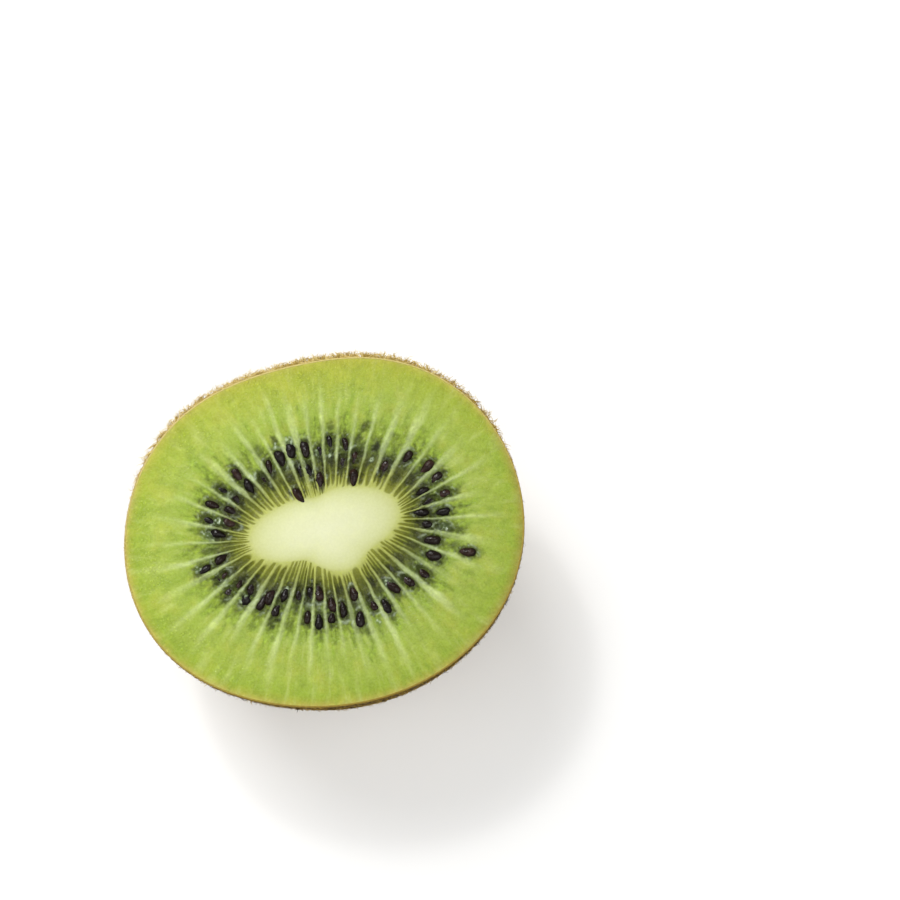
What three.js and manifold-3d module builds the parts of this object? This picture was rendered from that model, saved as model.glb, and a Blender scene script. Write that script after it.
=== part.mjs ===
// Half a kiwi fruit, cut across its length, standing on the stem end of its skin with the cut face
// up. Millimetres, +Z up. The origin is under the middle of the cut, on the surface below, and +X
// runs along the cut's longer side.
// The fruit is one solid: a blank is turned on a lathe, its vertices are moved out to the fruit's
// uneven outline and to the relief of its cut face, and the seeds that lie bare there are joined on.
import * as THREE from "three";
import { mergeVertices } from "three/addons/utils/BufferGeometryUtils.js";
import Module from "manifold-3d";

// Driving sizes, in millimetres
const halfHeight = 32; // from the surface below to the cut
const meanRadius = 24.9; // of the cut, skin included
const coreMeanRadius = 6.95; // of the pale core in the middle of the cut
const skinThickness = 0.45;
const bevelHeight = 0.2; // of the blunt edge that the knife leaves on the skin
const restRadius = 6.8; // outer edge of the flat ring of skin that the fruit stands on
const scarRadius = 3.4; // of the hollow inside that ring, where the stem sat
const scarDepth = 1.1;
const stubRadius = 1.7; // of the bit of stem left in the hollow
const stubClearance = 0.35; // between that stub and the surface below
const tipShift = { x: 1.0, y: -0.8 }; // the stem end lies a little off the middle of the cut
const tipBluntness = 2.25; // 2 is an ellipse, more is fuller towards the stem end

// The fruit's outline and its core's are a mean radius plus a few waves: how many go round, how
// high they are in millimetres, and at how many degrees one of their crests lies.
const longAxis = 10.3; // degrees from +X to the core's longer side
const outlineWaves = [
  { count: 1, height: 0.19, crest: -60 },
  { count: 2, height: 1.78, crest: 13.8 },
  { count: 3, height: 0.19, crest: 62.7 },
  { count: 4, height: 0.18, crest: 51.5 },
  { count: 5, height: 0.11, crest: 66.6 },
];
const coreWaves = [
  { count: 1, height: 0.4, crest: 26 },
  { count: 2, height: 2.3, crest: longAxis },
  { count: 3, height: 0.72, crest: 52 },
  { count: 4, height: 0.77, crest: 15.4 },
  { count: 6, height: 0.27, crest: 14.8 },
];

// Pale rays run out from the core to the skin, with a pocket of seeds between each two.
const pocketCount = 42;
const firstRay = 5.4; // degrees
const raySpread = 0.08; // radians: the rays stand wider apart at the core's two ends
const rayLean = 0.3; // radians: at the core's edge they start further round than at the skin
const pocketSink = 0.38; // how deep the ring of pockets lies below the cut
const rayRise = 0.3; // how far a ray stands up between two pockets
const coreRise = 0.22; // the firm core stands a little above the cut

// A seed's distance is 0 at the core's edge and 1 at the skin. The share is that of the pockets
// that have a seed in the row.
const seedRows = [
  { distance: 0.07, share: 0.08 },
  { distance: 0.22, share: 0.62 },
  { distance: 0.35, share: 0.74 },
  { distance: 0.57, share: 0.03 },
];
const seedDraw = 17902; // another whole number scatters the seeds another way
const seedSize = { length: 2.25, width: 1.3, thickness: 0.95 };

const radians = (degrees) => (degrees * Math.PI) / 180;
const mix = (a, b, share) => a + (b - a) * share;

// A number between 0 and 1 that jumps about from one n to the next, the same every time.
function scatter(n) {
  const x = Math.sin(n * 12.9898) * 43758.5453;
  return x - Math.floor(x);
}

function smoothStep(from, to, value) {
  const share = Math.min(1, Math.max(0, (value - from) / (to - from)));
  return share * share * (3 - 2 * share);
}

function wavyRadius(mean, waves, angle, strength = 1) {
  return waves.reduce(
    (radius, wave) => radius + strength * wave.height * Math.cos(wave.count * (angle - radians(wave.crest))),
    mean,
  );
}

// The angle at which a ray meets the skin. Whole turns are ray 0, 1, 2 and so on over pocketCount,
// and halfway between two of them is the middle of a pocket.
function rayAngle(turn) {
  const even = turn * 2 * Math.PI + radians(firstRay);
  return even + raySpread * Math.sin(2 * (even - radians(longAxis)));
}

// A ray is a straight line from the core's edge to the skin.
function facePoint(ray, distance) {
  const start = ray - rayLean * Math.sin(2 * (ray - radians(longAxis)));
  const inner = wavyRadius(coreMeanRadius, coreWaves, start);
  const outer = wavyRadius(meanRadius - skinThickness, outlineWaves, ray);
  const edge = new THREE.Vector2(inner * Math.cos(start), inner * Math.sin(start));
  const skin = new THREE.Vector2(outer * Math.cos(ray), outer * Math.sin(ray));
  return distance < 0 ? edge.multiplyScalar(1 + distance) : edge.lerp(skin, distance);
}

// Height above the cut. inPocket is 0 on a ray and 1 in the middle of a pocket.
function faceRelief(distance, inPocket) {
  if (distance <= 0) return coreRise * smoothStep(0, -0.3, distance);
  const inRing = smoothStep(0, 0.14, distance) * (1 - smoothStep(0.42, 0.66, distance));
  return inRing * (rayRise * (1 - inPocket) - pocketSink);
}

// The skin's own slow swells and hollows.
function swell(angle, height) {
  const up = height / halfHeight;
  const waves =
    0.22 * Math.sin(3 * angle + 4 * up + 0.7) +
    0.16 * Math.sin(5 * angle - 7 * up + 2.1) +
    0.3 * Math.cos(angle - 2.4);
  return waves * Math.sin(Math.PI * up);
}

// The skin's radius at a height, as a share of its radius at the cut.
function skinShare(height) {
  const fullLength = halfHeight / (1 - (restRadius / meanRadius) ** 2) ** (1 / tipBluntness);
  return Math.sqrt(1 - ((halfHeight - height) / fullLength) ** tipBluntness);
}

// The blank's profile, from the stem end out over the scar, up the skin to the knife's edge and in
// to the middle of the cut.
function profileRows() {
  const skinSteps = 16;
  const faceDistances = [1, 0.83, 0.66, 0.54, 0.43, 0.33, 0.23, 0.14, 0.07, 0, -0.3, -1];
  const rows = [
    { on: "scar", radius: 0, height: stubClearance },
    { on: "scar", radius: stubRadius * 0.85, height: stubClearance },
    { on: "scar", radius: stubRadius, height: scarDepth * 0.85 },
    { on: "scar", radius: mix(stubRadius, scarRadius, 0.35), height: scarDepth },
    { on: "scar", radius: scarRadius, height: scarDepth * 0.3 },
    { on: "scar", radius: scarRadius + 0.6, height: 0 },
  ];
  for (let step = 0; step <= skinSteps; step++) {
    const turn = (step / skinSteps) * (Math.PI / 2);
    rows.push({ on: "skin", height: (halfHeight - bevelHeight) * (1 - Math.cos(turn)) });
  }
  rows.push({ on: "bevel", height: halfHeight });
  faceDistances.forEach((distance) => rows.push({ on: "face", distance }));
  return rows;
}

function placeOnSkin(row, angle) {
  const up = row.height / halfHeight;
  const bevel = row.on === "bevel" ? bevelHeight / 2 : 0;
  const full = wavyRadius(meanRadius - bevel, outlineWaves, angle, mix(0.4, 1, up));
  const radius = full * skinShare(row.height) + swell(angle, row.height);
  const shift = (1 - up) ** 1.5;
  const x = tipShift.x * shift + radius * Math.cos(angle);
  const y = tipShift.y * shift + radius * Math.sin(angle);
  return [x, y, row.height];
}

function placeVertex(row, angle, inPocket) {
  if (row.on === "face") {
    const point = facePoint(angle, row.distance);
    return [point.x, point.y, halfHeight + faceRelief(row.distance, inPocket)];
  }
  if (row.on === "scar") {
    const x = tipShift.x + row.radius * Math.cos(angle);
    const y = tipShift.y + row.radius * Math.sin(angle);
    return [x, y, row.height];
  }
  return placeOnSkin(row, angle);
}

// One column of vertices lies on each ray and one in the middle of each pocket.
function fruitBlank() {
  const rows = profileRows();
  const columns = 2 * pocketCount;
  const last = rows.length - 1;
  const profile = rows.map((row, j) => new THREE.Vector2(j === 0 || j === last ? 0 : 1, j));
  const blank = new THREE.LatheGeometry(profile, columns);
  const position = blank.attributes.position;
  for (let i = 0; i <= columns; i++) {
    const angle = rayAngle((i % columns) / columns);
    const inPocket = i % 2;
    rows.forEach((row, j) => position.setXYZ(i * rows.length + j, ...placeVertex(row, angle, inPocket)));
  }
  return blank;
}

// A seed is a flattened drop whose thin end points at the core.
function seedShape(scale) {
  const seed = new THREE.SphereGeometry(1, 6, 4);
  seed.rotateZ(Math.PI / 2);
  const position = seed.attributes.position;
  for (let i = 0; i < position.count; i++) {
    const along = position.getX(i);
    const taper = 1 + 0.25 * along;
    const x = (along * seedSize.length) / 2;
    const y = (position.getY(i) * taper * seedSize.width) / 2;
    const z = (position.getZ(i) * taper * seedSize.thickness) / 2;
    position.setXYZ(i, x * scale, y * scale, z * scale);
  }
  return seed;
}

function seedPlaces() {
  const places = [];
  for (let pocket = 0; pocket < pocketCount; pocket++) {
    seedRows.forEach((row, r) => {
      const draw = (k) => scatter(seedDraw * 1000 + pocket * 31 + r * 7 + k * 0.37);
      if (draw(0) >= row.share) return;
      const ray = rayAngle((pocket + 0.5 + 0.36 * (draw(1) - 0.5)) / pocketCount);
      const distance = row.distance + 0.1 * (draw(2) - 0.5);
      const inner = facePoint(ray, 0);
      const outer = facePoint(ray, 1);
      places.push({
        point: facePoint(ray, distance),
        height: halfHeight + faceRelief(distance, 1) + 0.16 * (draw(3) - 0.3),
        heading: Math.atan2(outer.y - inner.y, outer.x - inner.x) + 0.5 * (draw(4) - 0.5),
        dip: 0.35 * (draw(5) - 0.5),
        scale: mix(0.88, 1.1, draw(6)),
      });
    });
  }
  return places;
}

function solidOf(wasm, geometry) {
  const bare = geometry.clone();
  bare.deleteAttribute("normal");
  bare.deleteAttribute("uv");
  const merged = mergeVertices(bare, 1e-4);
  const vertProperties = new Float32Array(merged.attributes.position.array);
  const triVerts = new Uint32Array(merged.index.array);
  return new wasm.Manifold(new wasm.Mesh({ numProp: 3, vertProperties, triVerts }));
}

function geometryOf(solid) {
  const mesh = solid.getMesh();
  const geometry = new THREE.BufferGeometry();
  geometry.setAttribute("position", new THREE.BufferAttribute(mesh.vertProperties, 3));
  geometry.setIndex(new THREE.BufferAttribute(mesh.triVerts, 1));
  geometry.computeVertexNormals();
  return geometry;
}

const wasm = await Module();
wasm.setup();

let fruit = solidOf(wasm, fruitBlank());
for (const place of seedPlaces()) {
  const seed = seedShape(place.scale);
  seed.rotateY(place.dip);
  seed.rotateZ(place.heading);
  seed.translate(place.point.x, place.point.y, place.height);
  fruit = fruit.add(solidOf(wasm, seed));
}

const flesh = new THREE.MeshStandardMaterial({ color: 0xabbb53, roughness: 0.35, metalness: 0 });
const kiwiHalf = new THREE.Mesh(geometryOf(fruit), flesh);
kiwiHalf.name = "kiwi_half";

const kiwi = new THREE.Group();
kiwi.add(kiwiHalf);

export default kiwi;
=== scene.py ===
# Half a green kiwi fruit, standing on its stem end with the cut face up.
# Pieces: the wet flesh with its pale core, rays and seed pockets, the seeds, the thin skin with the
# scar of the stem, and the skin's fuzz. Sizes are in millimetres, metre makes them Blender units.
import math
from functools import partial

import bpy
import numpy as np
from mathutils import Matrix, Vector, noise


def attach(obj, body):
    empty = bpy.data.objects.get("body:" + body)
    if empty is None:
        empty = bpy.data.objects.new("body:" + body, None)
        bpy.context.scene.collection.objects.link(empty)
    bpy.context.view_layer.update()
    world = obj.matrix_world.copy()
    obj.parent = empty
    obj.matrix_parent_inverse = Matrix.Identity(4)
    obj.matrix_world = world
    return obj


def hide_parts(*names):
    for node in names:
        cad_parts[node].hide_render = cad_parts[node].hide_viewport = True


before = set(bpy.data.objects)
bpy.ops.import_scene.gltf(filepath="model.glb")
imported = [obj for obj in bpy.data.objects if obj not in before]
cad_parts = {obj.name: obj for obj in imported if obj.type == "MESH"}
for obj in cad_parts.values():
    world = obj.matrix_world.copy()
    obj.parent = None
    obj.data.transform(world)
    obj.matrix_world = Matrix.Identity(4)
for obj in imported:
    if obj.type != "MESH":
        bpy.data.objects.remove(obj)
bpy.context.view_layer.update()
metre = 0.001

# The fruit itself, the same sizes as its solid has
fruit = {
    "halfHeight": 32.0,        # from the floor to the cut
    "meanRadius": 24.9,        # of the cut, with its skin
    "coreMeanRadius": 6.95,
    "bevelHeight": 0.2,        # of the blunt edge the knife leaves on the skin
    "restRadius": 6.8,         # of the flat ring the fruit stands on
    "tipShift": (1.0, -0.8),   # the stem end lies a little off the middle
    "tipBluntness": 2.25,
    "longAxis": 10.3,          # degrees, the core's longer side
    "rayCount": 42,            # pale rays, with a seed pocket between each two
    "firstRay": 5.4,           # degrees
    "raySpread": 0.08,
    "rayLean": 0.3,
    # how many go round, how high they are and where one crest lies, in degrees
    "outlineWaves": ((1, 0.19, -60), (2, 1.78, 13.8), (3, 0.19, 62.7), (4, 0.18, 51.5), (5, 0.11, 66.6)),
    "coreWaves": ((1, 0.4, 26), (2, 2.3, 10.3), (3, 0.72, 52), (4, 0.77, 15.4), (6, 0.27, 14.8)),
    "solidSkin": 0.45,         # the rays end this far inside the outline
}


def startClean():
    for obj in bpy.context.selected_objects:
        obj.select_set(False)
    bpy.context.view_layer.objects.active = None


def hexToLinear(code):
    # sRGB hex to the linear numbers that shaders want
    parts = [int(code[i:i + 2], 16) / 255 for i in (1, 3, 5)]
    return tuple(p / 12.92 if p <= 0.04045 else ((p + 0.055) / 1.055) ** 2.4 for p in parts) + (1.0,)


def addNode(tree, kind, inputs=None, stops=None, **settings):
    # one shader node: its settings, its inputs (values, nodes or sockets), and a ramp's stops
    node = tree.nodes.new("ShaderNode" + kind)
    for name, value in settings.items():
        setattr(node, name, value)
    for key, value in (inputs or {}).items():
        named = (s for s in node.inputs if s.name == key and s.enabled)
        socket = node.inputs[key] if isinstance(key, int) else next(named)
        if isinstance(value, bpy.types.Node):
            value = next(s for s in value.outputs if s.enabled)
        if isinstance(value, bpy.types.NodeSocket):
            tree.links.new(value, socket)
        else:
            socket.default_value = hexToLinear(value) if isinstance(value, str) else value
    for k, (position, colour) in enumerate(stops or ()):
        elements = node.color_ramp.elements
        element = elements[k] if k < 2 else elements.new(position)
        element.position = position
        element.color = hexToLinear(colour) if isinstance(colour, str) else (colour, colour, colour, 1)
    return node


def newMaterial(name, surface):
    # surface holds the shader's own settings, the same all over the piece
    material = bpy.data.materials.new(name)
    material.use_nodes = True
    tree = material.node_tree
    tree.nodes.clear()
    shader = addNode(tree, "BsdfPrincipled", surface)
    addNode(tree, "OutputMaterial", {"Surface": shader})
    return material, partial(addNode, tree), tree, shader


cameraSetup = {
    "lens": 100.0,             # a long lens looks almost straight along
    "sensor": 36.0,
    "clipStart": 0.01,         # metres
    "frameWidth": 118.4,       # what the picture takes in at the cut
    "aside": 16.5,             # the fruit lies this far left of the picture's middle
    "below": 10.5,
    "tilt": 8.5,               # degrees the view leans off the cut's own upright
    "tiltTowards": -70.0,      # degrees from +X, so the skin's lower right edge shows
}


def addCamera():
    data = bpy.data.cameras.new("camera")
    data.lens = cameraSetup["lens"]
    data.sensor_width = cameraSetup["sensor"]
    data.clip_start = cameraSetup["clipStart"]
    camera = bpy.data.objects.new("camera", data)
    bpy.context.scene.collection.objects.link(camera)
    distance = cameraSetup["frameWidth"] * cameraSetup["lens"] / cameraSetup["sensor"]
    tilt = math.radians(cameraSetup["tilt"])
    towards = math.radians(cameraSetup["tiltTowards"])
    lean = Vector((math.sin(tilt) * math.cos(towards), math.sin(tilt) * math.sin(towards), math.cos(tilt)))
    # the fruit isn't in the picture's middle, so the lens points past it by the same amount
    offset = Vector((cameraSetup["aside"], cameraSetup["below"], 0.0))
    back = (lean * distance - offset).normalized()
    right = Vector((0, 1, 0)).cross(back).normalized()
    up = back.cross(right)
    turn = Matrix((right, up, back)).transposed().to_4x4()
    middle = Vector((0, 0, fruit["halfHeight"])) + right * offset.x + up * offset.y
    camera.matrix_world = Matrix.Translation((middle + back * distance) * metre) @ turn
    bpy.context.scene.camera = camera


lighting = {
    # round softboxes: place and size in metres, watts
    "boxes": {
        "key": ((-0.22, 0.34, 0.50), 0.40, 2.1),
        "rightFill": ((0.30, -0.05, 0.60), 0.45, 0.75),
        "frontFill": ((0.05, -0.24, 0.62), 0.50, 0.8),
        "leftFill": ((-0.45, -0.12, 0.40), 0.40, 0.6),
        "spark": ((-0.16, 0.27, 0.55), 0.06, 0.45),  # small and bright, for the glints on what is wet
    },
    "world": 0.45,
    "floorSize": 4.0,
    # matt white paper, with no gloss at all
    "paper": {"Base Color": "#FCFCFB", "Roughness": 0.9, "Specular IOR Level": 0.0},
}


def addLights():
    for name, (place, size, watts) in lighting["boxes"].items():
        data = bpy.data.lights.new(name, "AREA")
        data.shape = "DISK"
        data.size = size
        data.energy = watts
        light = bpy.data.objects.new(name, data)
        light.location = place
        light.rotation_euler = Vector(place).to_track_quat("Z", "Y").to_euler()
        bpy.context.scene.collection.objects.link(light)
    world = bpy.data.worlds.new("studio")
    world.use_nodes = True
    background = world.node_tree.nodes["Background"]
    background.inputs["Color"].default_value = (1, 1, 1, 1)
    background.inputs["Strength"].default_value = lighting["world"]
    bpy.context.scene.world = world
    bpy.context.scene.view_settings.view_transform = "Standard"


def addFloor():
    startClean()
    bpy.ops.mesh.primitive_plane_add(size=lighting["floorSize"], location=(0, 0, 0))
    floor = bpy.context.object
    floor.name = "floor"
    floor.data.materials.append(newMaterial("whitePaperSweep", lighting["paper"])[0])


def smoothStep(start, end, value):
    # 0 up to start, 1 from end on, and a soft slope between
    share = np.clip((value - start) / (end - start), 0, 1)
    return share * share * (3 - 2 * share)


def scatter(n):
    # a number between 0 and 1 that jumps about from one n to the next
    x = np.sin(n * 12.9898) * 43758.5453
    return x - np.floor(x)


def lumps(size, *axes):
    # soft random hills and hollows about size wide, between -1 and 1
    points = np.stack(np.broadcast_arrays(*axes), axis=1) / size
    return np.array([noise.noise(Vector(point)) for point in points.tolist()])


def wavyRadius(mean, waves, angle, strength=1.0):
    rises = (height * np.cos(count * (angle - math.radians(crest))) for count, height, crest in waves)
    return mean + strength * sum(rises)


def rayAngle(turn):
    # where a ray meets the skin; the rays stand wider apart at the core's two ends
    even = turn * 2 * math.pi + math.radians(fruit["firstRay"])
    return even + fruit["raySpread"] * np.sin(2 * (even - math.radians(fruit["longAxis"])))


def facePoint(ray, distance):
    # distance is 0 at the core's edge, 1 just inside the skin and -1 in the core's middle
    start = ray - fruit["rayLean"] * np.sin(2 * (ray - math.radians(fruit["longAxis"])))
    inner = wavyRadius(fruit["coreMeanRadius"], fruit["coreWaves"], start)
    outer = wavyRadius(fruit["meanRadius"] - fruit["solidSkin"], fruit["outlineWaves"], ray)
    edgeX, edgeY = inner * np.cos(start), inner * np.sin(start)
    inCore = np.minimum(distance, 0) + 1
    outwards = np.maximum(distance, 0)
    x = edgeX * inCore + (outer * np.cos(ray) - edgeX) * outwards
    y = edgeY * inCore + (outer * np.sin(ray) - edgeY) * outwards
    return x, y


def skinPoint(angle, height, inwards=0.0):
    # on the outside of the skin, or so many millimetres inside it
    up = height / fruit["halfHeight"]
    slope = (fruit["restRadius"] / fruit["meanRadius"]) ** 2
    fullLength = fruit["halfHeight"] / (1 - slope) ** (1 / fruit["tipBluntness"])
    share = np.sqrt(np.maximum(1 - ((fruit["halfHeight"] - height) / fullLength) ** fruit["tipBluntness"], 0))
    full = wavyRadius(fruit["meanRadius"], fruit["outlineWaves"], angle, 0.4 + 0.6 * up)
    # slow swells and hollows
    swell = 0.22 * np.sin(3 * angle + 4 * up + 0.7) + 0.16 * np.sin(5 * angle - 7 * up + 2.1)
    swell = (swell + 0.3 * np.cos(angle - 2.4)) * np.sin(math.pi * up)
    radius = full * share + swell - inwards
    shift = np.maximum(1 - up, 0) ** 1.5
    x = fruit["tipShift"][0] * shift + radius * np.cos(angle)
    y = fruit["tipShift"][1] * shift + radius * np.sin(angle)
    return x, y


def spunBlank(name, profile, columns):
    # a vertex is drawn out along the profile, and the profile is spun round
    startClean()
    bpy.ops.mesh.primitive_plane_add(size=metre, location=(0, 0, 0))
    obj = bpy.context.object
    obj.name = obj.data.name = name
    bpy.ops.object.mode_set(mode="EDIT")
    bpy.ops.mesh.select_all(action="SELECT")
    bpy.ops.mesh.merge(type="CENTER")
    here = (0.0, 0.0)
    for k, (radius, height) in enumerate(profile):
        step = ((radius - here[0]) * metre, 0, (height - here[1]) * metre)
        if k == 0:
            bpy.ops.transform.translate(value=step)
        else:
            bpy.ops.mesh.extrude_region_move(TRANSFORM_OT_translate={"value": step})
        here = (radius, height)
    bpy.ops.mesh.select_all(action="SELECT")
    bpy.ops.mesh.spin(steps=columns, angle=2 * math.pi, center=(0, 0, 0), axis=(0, 0, 1), use_auto_merge=True)
    bpy.ops.mesh.select_all(action="SELECT")
    bpy.ops.mesh.remove_doubles(threshold=0.002 * metre)
    bpy.ops.mesh.normals_make_consistent(inside=False)
    bpy.ops.object.mode_set(mode="OBJECT")
    bpy.ops.object.shade_smooth()
    return obj


def blankPlaces(obj, profile, columns):
    # which row of the profile and which column of the spin each vertex came from
    points = np.empty(len(obj.data.vertices) * 3)
    obj.data.vertices.foreach_get("co", points)
    points = points.reshape(-1, 3) / metre
    radius = np.hypot(points[:, 0], points[:, 1])
    turn = np.arctan2(points[:, 1], points[:, 0]) / (2 * math.pi)
    column = np.round(turn * columns).astype(int) % columns
    row = np.zeros(len(points), dtype=int)
    closest = np.full(len(points), np.inf)
    for k, (rowRadius, rowHeight) in enumerate(profile):
        away = (radius - rowRadius) ** 2 + (points[:, 2] - rowHeight) ** 2
        row[away < closest] = k
        closest = np.minimum(closest, away)
    return row, column


def moveVertices(obj, x, y, z):
    obj.data.vertices.foreach_set("co", (np.stack([x, y, z], axis=1) * metre).ravel())
    obj.data.update()


def writeUv(obj, name, u, v, wrap):
    # u goes round and starts again after wrap, so faces across the seam take the higher number
    mesh = obj.data
    layer = mesh.uv_layers.new(name=name)
    corner = np.empty(len(mesh.loops), dtype=np.int64)
    mesh.loops.foreach_get("vertex_index", corner)
    counts = np.empty(len(mesh.polygons), dtype=np.int64)
    mesh.polygons.foreach_get("loop_total", counts)
    face = np.repeat(np.arange(len(counts)), counts)
    cornerU = u[corner].astype(float)
    known = ~np.isnan(cornerU)  # a pole has no u of its own
    highest = np.full(len(counts), -np.inf)
    np.maximum.at(highest, face[known], cornerU[known])
    cornerU = np.where(highest[face] - cornerU > wrap / 2, cornerU + wrap, cornerU)
    total, share = np.zeros(len(counts)), np.zeros(len(counts))
    np.add.at(total, face[known], cornerU[known])
    np.add.at(share, face[known], 1)
    cornerU = np.where(known, cornerU, (total / np.maximum(share, 1))[face])
    layer.data.foreach_set("uv", np.stack([cornerU, v[corner]], axis=1).ravel())


def writeAttribute(obj, name, values):
    attribute = obj.data.attributes.new(name, "FLOAT", "POINT")
    attribute.data.foreach_set("value", np.asarray(values, dtype=np.float32))


seeds = {
    "rows": ((0.07, 0.08), (0.22, 0.62), (0.35, 0.74), (0.57, 0.03)),  # distance, share of pockets
    "draw": 17902,             # another whole number scatters them another way
    "length": 2.25,
    "width": 1.3,
    "thickness": 0.95,
    "segments": 20,
    "rings": 14,
    "taper": 0.55,             # how much slimmer the end is that points at the core
    "dents": 0.28,             # how uneven they are, as a share of their size
    "dentSize": 1.1,
    "sideways": 0.36,          # how far they scatter across their pocket, as a share of it
    "inOut": 0.1,              # and along it, in distance
    "upDown": 0.16,            # mm
    "swing": 0.5,              # radians from one side of the ray's direction to the other
    "dip": 0.35,               # and of its nose, up to down
    "scale": (0.88, 0.22),     # the smallest, and how much more the largest has
    "slim": (0.78, 0.22),
    "sunkShare": 0.5,          # of the seeds lie deeper, half under the flesh
    "sunkDepth": 0.2,
    "buriedShare": 0.7,        # of the places without a seed have one just under the flesh
    "deepRows": ((0.16, 0.3), (0.29, 0.4), (0.45, 0.25)),  # more seeds that show through the flesh
    "gelShare": 0.3,           # of the pockets hold a blob of clear gel
}
relief = {
    "pocketSink": 0.38,        # the ring of pockets lies this deep
    "rayRise": 0.3,
    "coreRise": 0.2,
    "wallHalfWidth": 0.26,
    "pulpRise": 0.12,          # wet pulp fills the pockets a little
    "collarRise": 0.14,        # and climbs up a seed's sides
    "buriedRise": 0.07,        # a seed under the flesh lifts it by this
    "fingerSink": 0.07,
    "lumpRise": 0.06,
    "gelRise": 0.16,
    "gelCrinkle": 0.1,
    "rimDip": 0.015,           # keeps the flesh just under the skin's lip where the two overlap
}


def ringDepth(distance):
    # 1 where the ring of pockets is deepest
    return smoothStep(0, 0.14, distance) * (1 - smoothStep(0.42, 0.66, distance))


def seedPlaces():
    # the seeds that lie bare, and those that only show as dark spots through the flesh
    shown, buried = [], []
    for pocket in range(fruit["rayCount"]):
        for r, (rowDistance, share) in enumerate(seeds["rows"]):
            def draw(k):
                return float(scatter(seeds["draw"] * 1000 + pocket * 31 + r * 7 + k * 0.37))
            isShown = draw(0) < share
            if not isShown and (r in (0, 3) or draw(8) > seeds["buriedShare"]):
                continue
            ray = rayAngle((pocket + 0.5 + seeds["sideways"] * (draw(1) - 0.5)) / fruit["rayCount"])
            distance = rowDistance + seeds["inOut"] * (draw(2) - 0.5)
            innerX, innerY = facePoint(ray, 0.0)
            outerX, outerY = facePoint(ray, 1.0)
            x, y = facePoint(ray, distance)
            floorHeight = fruit["halfHeight"] - relief["pocketSink"] * float(ringDepth(distance))
            sunk = seeds["sunkDepth"] if draw(7) < seeds["sunkShare"] and 0 < r < 3 else 0.0
            (shown if isShown else buried).append({
                "x": float(x),
                "y": float(y),
                "z": floorHeight + seeds["upDown"] * (draw(3) - 0.3) - sunk,
                "sunk": sunk,
                "heading": math.atan2(outerY - innerY, outerX - innerX) + seeds["swing"] * (draw(4) - 0.5),
                "dip": seeds["dip"] * (draw(5) - 0.5),
                "scale": seeds["scale"][0] + seeds["scale"][1] * draw(6),
                "slim": seeds["slim"][0] + seeds["slim"][1] * draw(10),
                "tone": draw(9),
            })
        for r, (rowDistance, share) in enumerate(seeds["deepRows"]):
            draws = scatter(pocket * 17 + r * 5 + np.arange(6) * 0.41 + 0.2)
            if draws[0] < share:
                ray = rayAngle((pocket + 0.3 + 0.4 * draws[1]) / fruit["rayCount"])
                x, y = facePoint(ray, rowDistance + seeds["inOut"] * (draws[2] - 0.5))
                buried.append({
                    "x": x,
                    "y": y,
                    "heading": math.atan2(y, x) + 0.8 * (draws[3] - 0.5),
                    "scale": 0.8 + 0.3 * draws[4],
                    "tone": 0.6 * draws[5],
                })
    return shown, buried


def gelPlaces():
    # the clear sacs round the seeds burst here and there, and leave wet blobs
    places = []
    for pocket in np.flatnonzero(scatter(np.arange(fruit["rayCount"]) * 8.3 + 4.1) < seeds["gelShare"]):
        distance = 0.2 + 0.26 * scatter(pocket * 2.7 + 1.9)
        x, y = facePoint(rayAngle((pocket + 0.5) / fruit["rayCount"]), distance)
        size = 0.7 + 0.6 * scatter(pocket * 9.1 + 3.3)
        places.append({"x": float(x), "y": float(y), "heading": math.atan2(y, x), "scale": size})
    return places


def awayFrom(place, x, y, grow=1.0):
    # 1 on the seed's own outline, 0 in its middle
    alongX, alongY = math.cos(place["heading"]), math.sin(place["heading"])
    dx, dy = x - place["x"], y - place["y"]
    along = (dx * alongX + dy * alongY) / (seeds["length"] * grow * place["scale"] / 2)
    across = (dy * alongX - dx * alongY) / (seeds["width"] * grow * place["scale"] / 2)
    return np.hypot(along, across / (1 + 0.25 * np.clip(along, -1, 1)))


flesh = {
    "columnsPerPocket": 16,
    # rows of vertices: up to which distance, and how many
    "rows": ((-0.06, 8), (0.2, 40), (0.62, 58), (0.99, 24), (1.0, 2)),
    "hiddenRows": 8,
    "skinThickness": 0.26,     # of the skin's own piece
    "gap": -0.03,              # the flesh reaches this far into the skin, so that no slit shows
}


def fleshRows():
    # (kind, distance or height) down the flesh, and the profile that keeps these rows apart in the blank
    rows, here = [("face", -1.0)], -1.0
    for end, count in flesh["rows"]:
        rows += [("face", here + (end - here) * (k + 1) / count) for k in range(count)]
        here = end
    low = skin["scarDepth"] + flesh["skinThickness"] + flesh["gap"]
    turns = np.linspace(0, math.pi / 2, flesh["hiddenRows"] + 2)[1:-1]
    rows += [("side", low + (fruit["halfHeight"] - low) * math.cos(turn)) for turn in turns]
    rows.append(("pole", low))
    faceCount = sum(kind == "face" for kind, value in rows)
    profile = [(k / 5, fruit["halfHeight"]) for k in range(faceCount)]
    profile += [(faceCount / 5 - 0.5 * k, value) for k, (kind, value) in enumerate(rows[faceCount:-1])]
    profile.append((0.0, low))
    return rows, profile


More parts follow.
